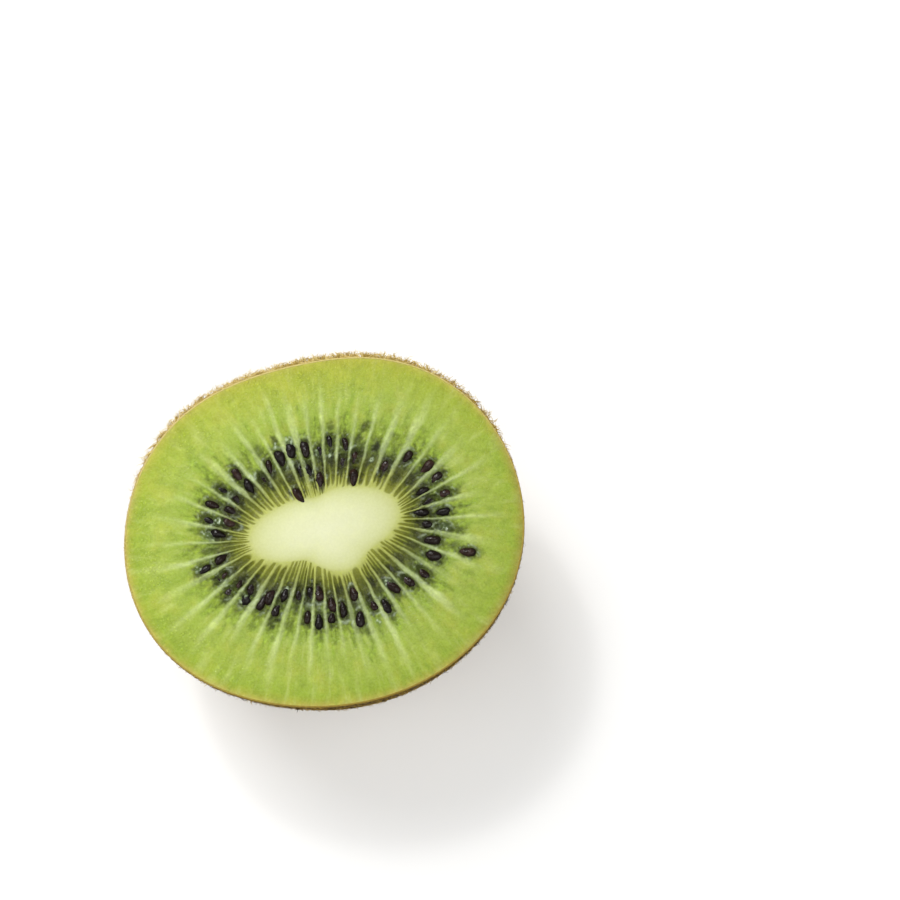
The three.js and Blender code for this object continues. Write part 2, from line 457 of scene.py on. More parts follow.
rayForm = {
    "stray": 0.07,             # how far a ray wanders, as a share of the gap between two
    # half the width in millimetres and the softness of the edges, at each distance
    "widths": ((0, 0.12, 0.3, 0.45, 0.62, 0.8, 1), (0.1, 0.13, 0.23, 0.31, 0.38, 0.38, 0.3)),
    "softness": ((0, 0.12, 0.3, 0.5, 0.7, 0.9), (0.1, 0.13, 0.24, 0.44, 0.68, 0.85)),
    "reach": (0.76, 0.26),     # the distance the shortest gets to, and how much more the longest
    "fade": 0.46,              # over this length a ray fades out
    "faintest": 0.45,
    "oneFinger": 0.07,         # share of the pockets that have one dark finger only
    "threeFingers": 0.66,      # pockets above this share have three
    "fingerEnd": (0.12, 0.26),
    "pocketEnd": 0.53,
    "raggedEnd": 0.26,
}


def rayPattern(across, distance, x, y):
    # shares, 0 to 1, of ray, finger and pocket at each place of the cut
    count = fruit["rayCount"]
    across = across + rayForm["stray"] * lumps(2.4, x, y, 0 * x) * (distance > 0)
    nearestRay = np.round(across) % count
    pocket = np.floor(across) % count
    inPocket = across - np.floor(across)
    toRay = np.minimum(inPocket, 1 - inPocket)
    offRay = toRay * 2 * math.pi * np.hypot(x, y) / count
    turn = across / count * 2 * math.pi
    lanes = lumps(0.28, np.sin(turn) * 6.7, np.cos(turn) * 6.7, distance * 1.8)
    coarse = lumps(1.3, x, y, 0 * x)
    along = lumps(1.0, nearestRay * 1.7, distance * 6.0, 0.5 + 0 * x)

    # rays are thin walls near the core, and grow wider, softer and uneven outwards
    width = np.interp(distance, *rayForm["widths"])
    width = width * (0.5 + 0.8 * scatter(nearestRay * 3.7 + 1.3)) * (1 + 0.35 * coarse + 0.3 * along)
    soft = np.interp(distance, *rayForm["softness"])
    reach = rayForm["reach"][0] + rayForm["reach"][1] * scatter(nearestRay * 5.1 + 0.4) + 0.06 * lanes
    faint = rayForm["faintest"] + (1 - rayForm["faintest"]) * scatter(nearestRay * 2.3 + 7.7)
    ray = 1 - smoothStep(width - soft / 2, width + soft / 2, offRay)
    ray *= 1 - (1 - faint) * smoothStep(0.15, 0.5, distance) + 0.3 * along
    ray *= (1 - smoothStep(reach - rayForm["fade"], reach, distance)) * smoothStep(-0.03, 0.03, distance)

    # one to three dark fingers with round ends reach in between two rays as far as the core
    pick = scatter(pocket * 4.3 + 2.9)
    number = 1 + (pick > rayForm["oneFinger"]) + (pick > rayForm["threeFingers"])
    shifted = np.clip(inPocket + 0.06 * coarse, 0, 0.999)
    finger = np.floor(shifted * number)
    draw = scatter(pocket * 3.1 + finger * 0.77 + 5.0)
    offFinger = np.abs(shifted * number - finger - 0.5)
    fingerStart = -0.045 + 0.065 * draw + 0.12 * offFinger ** 2 + 0.9 * offFinger ** 4
    fingerWidth = 0.42 - 0.03 * number + 0.08 * scatter(pocket * 1.7 + finger * 2.9)
    fingers = smoothStep(fingerStart, fingerStart + 0.035, distance)
    fingers *= (1 - smoothStep(fingerWidth - 0.16, fingerWidth + 0.08, offFinger)) * (0.75 + 0.25 * draw)
    fingers *= 1 - smoothStep(*rayForm["fingerEnd"], distance)

    # the dark pockets themselves, ragged at their outer ends and narrower there than the gap between rays
    end = rayForm["pocketEnd"] + 0.13 * (scatter(pocket * 6.1 + 0.9) - 0.3) + 0.1 * coarse
    end += rayForm["raggedEnd"] * lanes
    pockets = smoothStep(0.05, 0.2, distance) * (1 - smoothStep(end - 0.16, end + 0.12, distance))
    pockets *= 1 - smoothStep(0.4, 0.64, distance) * (1 - smoothStep(0.08, 0.4, toRay))
    return np.clip(ray, 0, 1), fingers, pockets, offRay, coarse


def addFlesh(shown, buried):
    rows, profile = fleshRows()
    columns = fruit["rayCount"] * flesh["columnsPerPocket"]
    obj = spunBlank("flesh", profile, columns)
    row, column = blankPlaces(obj, profile, columns)
    kinds = np.array([kind for kind, value in rows])[row]
    values = np.array([value for kind, value in rows])[row]
    turn = column / columns
    angle = rayAngle(turn)
    onFace = kinds == "face"
    distance = np.where(onFace, values, 1.0)
    x, y = facePoint(angle, distance)
    # the rim is carried out to the skin's own inner side
    inset = flesh["skinThickness"] + flesh["gap"]
    rimX, rimY = skinPoint(angle, fruit["halfHeight"], inset)
    carried = smoothStep(0.9, 1.0, distance) * onFace
    endX, endY = facePoint(angle, 1.0)
    x, y = x + (rimX - endX) * carried, y + (rimY - endY) * carried
    sideX, sideY = skinPoint(angle, np.where(onFace, fruit["halfHeight"], values), inset)
    x = np.where(onFace, x, np.where(kinds == "side", sideX, fruit["tipShift"][0]))
    y = np.where(onFace, y, np.where(kinds == "side", sideY, fruit["tipShift"][1]))

    ray, fingers, pockets, offRay, coarse = rayPattern(turn * fruit["rayCount"], distance, x, y)
    fine = lumps(0.42, x, y, 0 * x)
    wall = np.exp(-(offRay / relief["wallHalfWidth"]) ** 2)
    depth = ringDepth(distance)
    height = depth * (relief["rayRise"] * wall - relief["pocketSink"] + relief["pulpRise"] * (1 - wall))
    height += relief["coreRise"] * smoothStep(0, -0.7, distance) * (distance < 0)
    height -= relief["fingerSink"] * fingers
    inFlesh = smoothStep(-0.02, 0.06, distance) * (1 - smoothStep(0.94, 1.0, distance))
    height += relief["lumpRise"] * inFlesh * (0.25 + 1.6 * depth) * (0.8 * fine + 0.5 * coarse)
    height -= relief["rimDip"] * carried

    # each seed lies in a torn sac: a collar of pulp with a pale rim, and dark flesh round and over the seed
    shade, sac, gel = np.zeros(len(x)), np.zeros(len(x)), np.zeros(len(x))
    shreds = smoothStep(0.05, 0.32, lumps(0.36, x, y, 0 * x + 9.0))
    for place in shown:
        away = awayFrom(place, x, y)
        rise = relief["collarRise"] * (1.4 if place["sunk"] else 0.6) * (1 + 1.2 * fine + 1.2 * coarse)
        height += rise * np.exp(-((away - 1.05) / 0.35) ** 2) * onFace
        shade = np.maximum(shade, 0.8 * (1 - smoothStep(0.9, 2.1, away + 0.6 * fine)))
        sac = np.maximum(sac, np.exp(-((away - 1.35) / 0.2) ** 2) * (0.9 * coarse + 0.35 * shreds - 0.1))
    for place in buried:
        away = awayFrom(place, x, y, 0.9)
        height += relief["buriedRise"] * np.exp(-(away / 0.9) ** 2) * onFace
        darkest = 0.5 + 0.45 * place["tone"]
        shade = np.maximum(shade, darkest * (1 - smoothStep(0.3, 1.5, away + 0.45 * fine)))
    for place in gelPlaces():
        away = awayFrom(place, x, y, 0.8)
        gel = np.maximum(gel, 1 - smoothStep(0.3, 1.2, away + 0.5 * coarse))
    # shreds of the torn sacs float in the gel; there their pale colour is a painted glint of wet highlight
    sac = np.maximum(sac, 0.95 * gel * shreds)
    height += gel * (relief["gelRise"] + relief["gelCrinkle"] * lumps(0.8, x, y, 0 * x + 5.0)) * onFace
    moveVertices(obj, x, y, np.where(onFace, fruit["halfHeight"] + height, values))

    u = np.where((distance <= -1) | (kinds == "pole"), np.nan, turn * fruit["rayCount"])
    writeUv(obj, "rays", u, np.where(onFace, distance, 1.0), fruit["rayCount"])
    shade *= smoothStep(-0.04, 0.05, distance)
    shares = {
        "ray": ray, "finger": fingers, "pocket": pockets,
        "seedShade": shade, "sac": np.clip(sac, 0, 1), "gel": gel,
    }
    for name, share in shares.items():
        writeAttribute(obj, name, share * onFace)
    obj.data.materials.append(fleshMaterial())
    return obj


fleshFinish = {
    # each ramp's places are distances: 0 the core's edge, 1 the skin; in the core they are negative
    "core": (
        (-1.0, "#D6D8B4"), (-0.5, "#D1D4A9"), (-0.22, "#C7CB97"), (-0.08, "#BDC184"), (0.0, "#AFB466"),
        (0.06, "#969B44"), (0.14, "#888E3A"), (0.26, "#7F8A3A"),
    ),
    "fingers": ((0.0, "#6C7012"), (0.05, "#5E6210"), (0.1, "#525712"), (0.16, "#444914"), (0.26, "#3A4014")),
    "pockets": (
        (0.08, "#6C7020"), (0.16, "#666C24"), (0.25, "#545E24"), (0.32, "#718430"), (0.4, "#7C8E31"),
        (0.48, "#7C9030"), (0.62, "#839A35"),
    ),
    "rays": (
        (0.0, "#ADB25C"), (0.1, "#999F52"), (0.2, "#929D64"), (0.3, "#9BA974"), (0.42, "#A9B879"),
        (0.56, "#B7C580"), (0.74, "#B8C57A"),
    ),
    "outer": (
        (0.3, "#879B3C"), (0.5, "#8CA13F"), (0.62, "#95A845"), (0.8, "#98AA43"), (0.93, "#90A537"),
        (0.965, "#97A239"), (0.985, "#A8A548"), (1.0, "#B8AC58"),
    ),
    "seedShade": "#1C1F0A",
    # pale sac membranes round the seeds; on the gel the same colour is a painted glint
    "sac": "#BCCBAC",
    "gel": "#566842",
    "covers": {"gel": 0.5, "sac": 0.78},  # how much of the colour beneath they hide
    # tint, where in the noise it starts and where it is full, how much at most
    "yellowCloud": ("#ACAE44", 0.48, 0.68, 0.42),
    "paleStreak": ("#B2BE6C", 0.52, 0.75, 0.6),
    "greenStreak": ("#839B34", 0.48, 0.28, 0.55),
    # painted light and painted shade at the rim: tint, which side, from and up to how many mm towards it, how
    # much at most, from which distance on
    "paintedLitAndShadedRims": (
        ("#A6A83A", (-0.2, 0.98, 0.0), 6.0, 22.0, 0.6, 0.7),
        ("#7F7C2A", (0.98, -0.18, 0.0), 17.0, 25.0, 0.85, 0.945),
    ),
    "cloudSize": 3.0,          # mm
    "streakScale": (20.0, 20.0, 4.5),    # fine round the fruit, and drawn out along the rays
    "granuleScale": (30.0, 30.0, 15.0),
    "grainSize": 0.3,          # mm, the juice cells
    "grainContrast": 0.3,
    "mottleSize": 0.9,         # mm
    "mottleContrast": 0.46,
    "beadSize": 0.55,          # mm, the beads of juice on the outer flesh
    # painted highlight of the beads, with a painted shade at their edge
    "paintedBeadLight": 0.24,
    # painted light: the flesh is painted brighter towards this side
    "paintedLightSide": (-0.94, 0.34, 0.0),
    "paintedLightShare": 0.0037,     # painted light: brighter by this share for each mm towards that side
    "roughness": (0.18, 0.36), # where the grain is finest and where it is coarsest
    "gelRoughness": 0.07,
    "surface": {
        "IOR": 1.33, "Specular IOR Level": 0.3,
        "Subsurface Weight": 0.35, "Subsurface Radius": (1.0, 1.1, 0.4), "Subsurface Scale": 0.25 * metre,
    },
}


def fleshMaterial():
    # wet cut fruit: light goes in and comes out softened, a film of juice gives it small glints
    material, add, tree, shader = newMaterial("wetKiwiFlesh", fleshFinish["surface"])
    look = fleshFinish
    multiply = {"data_type": "RGBA", "blend_type": "MULTIPLY"}
    place = add("VectorMath", {0: add("TexCoord").outputs["Object"], "Scale": 1 / metre}, operation="SCALE")
    rays = add("SeparateXYZ", {0: add("UVMap", uv_map="rays")})
    distance = rays.outputs["Y"]
    # the ray number as a place on a circle, so that nothing breaks where the count starts again
    turn = add("Math", {0: rays.outputs["X"], 1: 2 * math.pi / fruit["rayCount"]}, operation="MULTIPLY")
    circle = add("CombineXYZ", {
        0: add("Math", {0: turn}, operation="SINE"),
        1: add("Math", {0: turn}, operation="COSINE"),
        2: distance,
    })
    names = ("ray", "finger", "pocket", "seedShade", "sac", "gel")
    share = {name: add("Attribute", attribute_name=name) for name in names}

    # the ground colours, by distance from the core
    core = add("ValToRGB", {0: add("Math", {0: distance, 1: 0.5, 2: 0.5}, operation="MULTIPLY_ADD")},
               stops=[((d + 1) / 2, code) for d, code in look["core"]])
    outer, pockets, fingers, rayColour = (
        add("ValToRGB", {0: distance}, stops=look[name]) for name in ("outer", "pockets", "fingers", "rays")
    )

    # outer flesh: yellower clouds, and faint streaks drawn out along the rays
    cloud = add("TexNoise", {
        "Vector": place, "Scale": 1 / look["cloudSize"], "Detail": 3.0, "Roughness": 0.6,
    })
    streakPlace = add("VectorMath", {0: circle, 1: look["streakScale"]}, operation="MULTIPLY")
    streak = add("TexNoise", {"Vector": streakPlace, "Scale": 1.0, "Detail": 3.0, "Roughness": 0.55})
    for name, pattern in (("yellowCloud", cloud), ("paleStreak", streak), ("greenStreak", streak)):
        tint, start, end, most = look[name]
        factor = add("MapRange", {"Value": pattern, "From Min": start, "From Max": end, "To Max": most})
        outer = add("Mix", {"Factor": factor, "A": outer, "B": tint}, data_type="RGBA")
    # painted light and shade at the rim: yellower on the side the light comes from, browner on the side in
    # shade
    for tint, side, start, end, most, inner in look["paintedLitAndShadedRims"]:
        along = add("VectorMath", {0: place, 1: side}, operation="DOT_PRODUCT").outputs["Value"]
        onSide = add("MapRange", {"Value": along, "From Min": start, "From Max": end, "To Max": most})
        full = inner + 0.04 + (1 - inner) * 0.7
        atRim = add("MapRange", {"Value": distance, "From Min": inner, "From Max": full})
        factor = add("Math", {0: atRim, 1: onSide}, operation="MULTIPLY")
        outer = add("Mix", {"Factor": factor, "A": outer, "B": tint}, data_type="RGBA")

    # granules: darker and lighter in short streaks that point at the core, and again in rounder spots
    granulePlace = add("VectorMath", {0: circle, 1: look["granuleScale"]}, operation="MULTIPLY")
    granules = add("TexNoise", {"Vector": granulePlace, "Scale": 1.0, "Detail": 2.0, "Roughness": 0.5})
    spots = add("TexNoise", {"Vector": place, "Scale": 1.5, "Detail": 3.0, "Roughness": 0.55})
    for pattern, darkest, lightest in ((granules, 0.64, 1.34), (spots, 0.8, 1.22)):
        shade = add("MapRange", {
            "Value": pattern, "From Min": 0.33, "From Max": 0.67, "To Min": darkest, "To Max": lightest,
        })
        pockets = add("Mix", {"Factor": 1.0, "A": pockets, "B": shade}, **multiply)
    shade = add("MapRange", {
        "Value": granules, "From Min": 0.3, "From Max": 0.7, "To Min": 0.82, "To Max": 1.16,
    })
    rayColour, fingers = (
        add("Mix", {"Factor": 1.0, "A": ground, "B": shade}, **multiply) for ground in (rayColour, fingers)
    )

    inCore = add("MapRange", {
        "Value": distance, "From Min": 0.2, "From Max": 0.06,
    }, interpolation_type="SMOOTHSTEP")
    layers = (
        (inCore, core), (share["pocket"], pockets), (share["finger"], fingers),
        (share["seedShade"], look["seedShade"]), (share["ray"], rayColour),
    )
    colour = outer
    for factor, layer in layers:
        colour = add("Mix", {"Factor": factor, "A": colour, "B": layer}, data_type="RGBA")
    for name, most in look["covers"].items():
        factor = add("Math", {0: share[name], 1: most}, operation="MULTIPLY")
        colour = add("Mix", {"Factor": factor, "A": colour, "B": look[name]}, data_type="RGBA")

    # the fine grain of the juice cells over a coarser mottle, and painted light that makes one side slightly
    # brighter
    grain, mottle = (
        add("TexNoise", {"Vector": place, "Scale": 1 / look[size], "Detail": detail, "Roughness": 0.6})
        for size, detail in (("grainSize", 2.0), ("mottleSize", 3.0))
    )
    inFlesh = add("MapRange", {
        "Value": distance, "From Min": -0.1, "From Max": 0.1, "To Min": 0.12, "To Max": 1.0,
    })
    contrast, coarse = (
        add("Math", {
            0: add("Math", {0: pattern, 1: 0.5}, operation="SUBTRACT"), 1: inFlesh,
        }, operation="MULTIPLY") for pattern in (grain, mottle)
    )
    # painted light, brighter towards one side
    toSide = add("VectorMath", {0: place, 1: look["paintedLightSide"]}, operation="DOT_PRODUCT")
    paintedLightSide = toSide.outputs["Value"]
    bright = add("Math", {0: paintedLightSide, 1: look["paintedLightShare"], 2: 1.0}, operation="MULTIPLY_ADD")
    bright = add("Math", {0: contrast, 1: look["grainContrast"], 2: bright}, operation="MULTIPLY_ADD")
    bright = add("Math", {0: coarse, 1: look["mottleContrast"], 2: bright}, operation="MULTIPLY_ADD")
    # patches of small round beads of juice between the rays and the skin, on the lit side only, raised by the
    # bump; their colour is a painted highlight, pale in the middle with a painted shade at the edge
    beads = add("TexVoronoi", {"Vector": place, "Scale": 1 / look["beadSize"]})
    beadHeight = add("MapRange", {
        "Value": beads.outputs["Distance"],
        "From Min": 0.45, "From Max": 0.1, "To Min": -0.25, "To Max": 0.75,
    }, interpolation_type="SMOOTHSTEP")
    beadPatch = add("MapRange", {"Value": cloud, "From Min": 0.52, "From Max": 0.44})
    atOutside = add("MapRange", {"Value": distance, "From Min": 0.64, "From Max": 0.76})
    beadSide = add("MapRange", {"Value": paintedLightSide, "From Min": -6.0, "From Max": 10.0})
    for patch in (beadPatch, atOutside, beadSide):
        beadHeight = add("Math", {0: beadHeight, 1: patch}, operation="MULTIPLY")
    bright = add("Math", {0: beadHeight, 1: look["paintedBeadLight"], 2: bright}, operation="MULTIPLY_ADD")
    colour = add("Mix", {"Factor": 1.0, "A": colour, "B": bright}, **multiply)
    tree.links.new(colour.outputs[2], shader.inputs["Base Color"])

    # a film of juice, thicker and smoother on the gel
    smoothest, roughest = look["roughness"]
    roughness = add("MapRange", {
        "Value": grain, "From Min": 0.3, "From Max": 0.7, "To Min": smoothest, "To Max": roughest,
    })
    roughness = add("Mix", {
        "Factor": share["gel"], "A": roughness, "B": look["gelRoughness"],
    }, data_type="FLOAT")
    tree.links.new(roughness.outputs[0], shader.inputs["Roughness"])
    offGel = add("Math", {0: 1.0, 1: share["gel"]}, operation="SUBTRACT")
    cells = add("Math", {0: contrast, 1: offGel}, operation="MULTIPLY")
    cells = add("Math", {0: cells, 1: beadHeight}, operation="ADD")
    bump = add("Bump", {"Height": cells, "Strength": 0.6, "Distance": 0.14 * metre})
    tree.links.new(bump.outputs[0], shader.inputs["Normal"])
    return material


def addSeeds(places):
    # one seed is shaped, copied to each place, and the copies are joined
    startClean()
    bpy.ops.mesh.primitive_uv_sphere_add(
        segments=seeds["segments"], ring_count=seeds["rings"], radius=0.5 * metre, location=(0, 0, 0),
    )
    proto = bpy.context.object
    bpy.ops.object.mode_set(mode="EDIT")
    bpy.ops.mesh.select_all(action="SELECT")
    # the poles go to the seed's two ends, along X
    bpy.ops.transform.rotate(value=math.pi / 2, orient_axis="Y", center_override=(0, 0, 0))
    bpy.ops.transform.resize(value=(seeds["length"], seeds["width"], seeds["thickness"]))
    bpy.ops.object.mode_set(mode="OBJECT")
    drop = proto.modifiers.new("drop", "SIMPLE_DEFORM")
    drop.deform_method = "TAPER"
    drop.deform_axis = "X"
    drop.factor = seeds["taper"]
    bpy.ops.object.modifier_apply(modifier="drop")
    bpy.ops.object.shade_smooth()
    copies = []
    smooth = np.empty(len(proto.data.vertices) * 3)
    proto.data.vertices.foreach_get("co", smooth)
    smooth = smooth.reshape(-1, 3)
    for place in places:
        copy = proto.copy()
        copy.data = proto.data.copy()
        # no two seeds are quite alike
        dents = lumps(seeds["dentSize"], *(smooth.T / metre + 50 * place["tone"]))
        copy.data.vertices.foreach_set("co", (smooth * (1 + seeds["dents"] * dents)[:, None]).ravel())
        bpy.context.scene.collection.objects.link(copy)
        turn = Matrix.Rotation(place["heading"], 4, "Z") @ Matrix.Rotation(place["dip"], 4, "Y")
        spot = Matrix.Translation(Vector((place["x"], place["y"], place["z"])) * metre)
        size = Matrix.Diagonal((place["scale"], place["scale"] * place["slim"], place["scale"], 1))
        copy.matrix_world = spot @ turn @ size
        writeAttribute(copy, "tone", [place["tone"]] * len(copy.data.vertices))
        copies.append(copy)
    bpy.data.objects.remove(proto)
    startClean()
    for copy in copies:
        copy.select_set(True)
    bpy.context.view_layer.objects.active = copies[0]
    bpy.ops.object.join()
    bpy.ops.object.transform_apply(location=True, rotation=True, scale=True)
    obj = bpy.context.object
    obj.name = obj.data.name = "seeds"
    obj.data.materials.append(seedMaterial())
    return obj


seedFinish = {
    "coat": ((0.12, "#0C0603"), (0.42, "#1C0E07"), (0.62, "#332019")),  # black, brown, mauve
    "pitSize": 0.2,            # mm between the pits of the seed coat
    "surface": {"Roughness": 0.17, "IOR": 1.36, "Specular IOR Level": 0.35},
}


def seedMaterial():
    # hard seed coat, wet: near black with a brown cast and a small sharp highlight
    material, add, tree, shader = newMaterial("wetSeedCoat", seedFinish["surface"])
    place = add("VectorMath", {0: add("TexCoord").outputs["Object"], "Scale": 1 / metre}, operation="SCALE")
    tone = add("Attribute", attribute_name="tone")
    mottle = add("TexNoise", {"Vector": place, "Scale": 1.3, "Detail": 3.0})
    share = add("Math", {0: tone, 1: mottle}, operation="MULTIPLY")
    colour = add("ValToRGB", {0: share}, stops=seedFinish["coat"])
    tree.links.new(colour.outputs[0], shader.inputs["Base Color"])
    pits = add("TexVoronoi", {"Vector": place, "Scale": 1 / seedFinish["pitSize"]})
    bump = add("Bump", {"Height": pits.outputs["Distance"], "Strength": 0.5, "Distance": 0.05 * metre})
    tree.links.new(bump.outputs[0], shader.inputs["Normal"])
    return material


skin = {
    "columnsPerPocket": 12,
    "sideRows": 56,
    "rowsInside": 12,
    "scarRadius": 3.4,         # of the hollow where the stem sat
    "scarDepth": 1.1,
    "stubRadius": 1.7,         # of the bit of stem left in it
    "puckers": 22,             # folds round the hollow's edge
    "puckerDepth": 0.12,
    "dimple": 0.05,
}


def skinRows():
    # outside, from the knife's edge down to the flat ring, through the scar to its middle, and back inside
    high = fruit["halfHeight"]
    turns = np.linspace(0, math.pi / 2, skin["sideRows"] + 1)
    scarRadius, stub = skin["scarRadius"], skin["stubRadius"]
    rows = [("lip", 0.0, high)]
    rows += [("outside", 0.0, float((high - fruit["bevelHeight"]) * (1 - math.sin(turn)))) for turn in turns]
    rows += [("scar", radius, height) for radius, height in (
        (scarRadius + 2.2, 0.0), (scarRadius + 1.1, 0.0), (scarRadius + 0.5, 0.0), (scarRadius + 0.2, 0.08),
        (scarRadius - 0.05, 0.4), (scarRadius - 0.3, 0.75), (scarRadius - 0.65, 1.0), (stub + 0.55, 1.1),
        (stub + 0.15, 1.05), (stub, 0.85), (stub - 0.08, 0.55), (stub - 0.25, 0.38), (stub * 0.6, 0.35),
        (stub * 0.3, 0.42), (0.0, 0.45),
    )]
    low = skin["scarDepth"] + flesh["skinThickness"]
    rows.append(("pole", 0.0, low))
    turns = np.linspace(0, math.pi / 2, skin["rowsInside"] + 1)[1:]
    rows += [("inside", 0.0, float(low + (high - low) * math.sin(turn))) for turn in turns]
    # the profile only keeps the rows apart in the blank, addSkin moves them to their places
    profile = []
    for k, (kind, radius, height) in enumerate(rows):
        if kind == "outside":
            profile.append((25.0 - 0.2 * (k - 1), height))
        elif kind == "inside":
            profile.append((8 + height / 2, height))
        else:
            profile.append((24.6 if kind == "lip" else radius, height - 0.2 * (kind == "scar")))
    return rows, profile


def addSkin():
    rows, profile = skinRows()
    columns = fruit["rayCount"] * skin["columnsPerPocket"]
    obj = spunBlank("skin", profile + profile[:1], columns)  # the lip closes the wall
    row, column = blankPlaces(obj, profile, columns)
    kinds = np.array([kind for kind, radius, height in rows])[row]
    radii = np.array([radius for kind, radius, height in rows])[row]
    heights = np.array([height for kind, radius, height in rows])[row]
    angle = rayAngle(column / columns)
    insets = [flesh["skinThickness"], fruit["bevelHeight"] / 2]
    inwards = np.select([kinds == "inside", kinds == "lip"], insets, 0.0)
    wallX, wallY = skinPoint(angle, heights, inwards)
    pucker = np.cos(angle * skin["puckers"] + 1.3 * np.sin(angle * 3)) * smoothStep(1.5, 3.2, radii)
    pucker = skin["puckerDepth"] * pucker * (1 - smoothStep(3.6, 4.4, radii)) * smoothStep(0.0, 0.5, heights)
    inMiddle = (kinds == "scar") | (kinds == "pole")
    x = np.where(inMiddle, fruit["tipShift"][0] + radii * np.cos(angle), wallX)
    y = np.where(inMiddle, fruit["tipShift"][1] + radii * np.sin(angle), wallY)
    z = heights + np.where(kinds == "scar", pucker, 0)
    # shallow dimples and creases
    high = fruit["halfHeight"]
    outside = (kinds == "outside") * smoothStep(0.3, 4, heights) * smoothStep(high, high - 3, heights)
    creases = lumps(1.6, x, y, z) + 0.6 * lumps(0.7, x, y, z)
    shrink = 1 - skin["dimple"] * outside * creases / np.maximum(np.hypot(x, y), 1)
    moveVertices(obj, x * shrink, y * shrink, z)
    scarRadius = skin["scarRadius"]
    writeAttribute(obj, "inScar", (kinds == "scar") * (1 - smoothStep(scarRadius, scarRadius + 1.8, radii)))
    writeAttribute(obj, "cutEdge", smoothStep(high - 0.3, high - 0.03, heights))
    obj.data.materials.append(skinMaterial())
    return obj


skinFinish = {
    "ground": ((0.3, "#7C5A20"), (0.43, "#80702C"), (0.53, "#967631"), (0.68, "#A98740")),  # brown to gold
    "paleTip": "#A68F64",
    # painted shade beside the cut, on the side away from the light
    "paintedShadeBrown": "#2A1D08",
    # tint, where in the noise it starts and where it is full, how much at most
    "speck": ("#6A3E10", 0.46, 0.68, 0.75),
    "fleck": ("#9C9258", 0.5, 0.32, 0.6),
    "scar": "#4A3018",
    "cutEdge": ((0.1, "#8A7432"), (0.45, "#A69648"), (0.9, "#CFC07C")),  # painted shade on the shaded side to painted light on the lit side
    "mottleSize": 4.5,         # mm
    "speckSize": 0.4,
    # the side the painted light comes from; painted shade lies opposite
    "skinPaintedLightSide": (-0.4, 0.92, 0.0),
    "surface": {
        "Roughness": 0.65, "IOR": 1.4, "Specular IOR Level": 0.06,
        "Subsurface Weight": 0.05, "Subsurface Radius": (1.0, 0.8, 0.4), "Subsurface Scale": 0.2 * metre,
    },
}


def skinMaterial():
    # thin leathery fruit skin: dull, golden to olive brown, with small darker specks
    material, add, tree, shader = newMaterial("kiwiSkin", skinFinish["surface"])
    look = skinFinish
    place = add("VectorMath", {0: add("TexCoord").outputs["Object"], "Scale": 1 / metre}, operation="SCALE")
    mottle = add("TexNoise", {
        "Vector": place, "Scale": 1 / look["mottleSize"], "Detail": 5.0, "Roughness": 0.62,
    })
    colour = add("ValToRGB", {0: mottle}, stops=look["ground"])
    height = add("SeparateXYZ", {0: place}).outputs["Z"]
    toTip = add("MapRange", {"Value": height, "From Min": 17.0, "From Max": 3.0, "To Max": 0.6})
    colour = add("Mix", {"Factor": toTip, "A": colour, "B": look["paleTip"]}, data_type="RGBA")
    # painted shade: browner beside the cut on the side away from the light
    towardsPaintedLight = add("VectorMath", {0: place, 1: look["skinPaintedLightSide"]}, operation="DOT_PRODUCT").outputs["Value"]
    inShade = add("MapRange", {"Value": towardsPaintedLight, "From Min": 0.0, "From Max": -16.0, "To Max": 0.92})
    raggedHeight = add("Math", {0: mottle, 1: 10.0, 2: height}, operation="MULTIPLY_ADD")
    nearCut = add("MapRange", {"Value": raggedHeight, "From Min": 28.0, "From Max": 34.0})
    paintedShadeShare = add("Math", {0: inShade, 1: nearCut}, operation="MULTIPLY")
    colour = add("Mix", {"Factor": paintedShadeShare, "A": colour, "B": look["paintedShadeBrown"]}, data_type="RGBA")
    # a dense felt of tiny brown and greyish flecks
    specks = add("TexNoise", {
        "Vector": place, "Scale": 1 / look["speckSize"], "Detail": 4.0, "Roughness": 0.7,
    })
    for name in ("speck", "fleck"):
        tint, start, end, most = look[name]
        factor = add("MapRange", {"Value": specks, "From Min": start, "From Max": end, "To Max": most})
        colour = add("Mix", {"Factor": factor, "A": colour, "B": tint}, data_type="RGBA")
    # the cut through the skin: painted light makes it pale on the lit side, painted shade browner on the
    # other, and real spots over both
    edgeLightShadeAndSpots = add("Math", {0: towardsPaintedLight, 1: 0.016, 2: -0.1}, operation="MULTIPLY_ADD")
    edgeLightShadeAndSpots = add("Math", {0: specks, 1: 1.2, 2: edgeLightShadeAndSpots}, operation="MULTIPLY_ADD")
    cutEdge = add("ValToRGB", {0: edgeLightShadeAndSpots}, stops=look["cutEdge"])
    for name, own in (("inScar", look["scar"]), ("cutEdge", cutEdge)):
        share = add("Attribute", attribute_name=name)
        colour = add("Mix", {"Factor": share, "A": colour, "B": own}, data_type="RGBA")
    tree.links.new(colour.outputs[2], shader.inputs["Base Color"])
    bump = add("Bump", {"Height": specks, "Strength": 0.5, "Distance": 0.15 * metre})
    tree.links.new(bump.outputs[0], shader.inputs["Normal"])
    return material


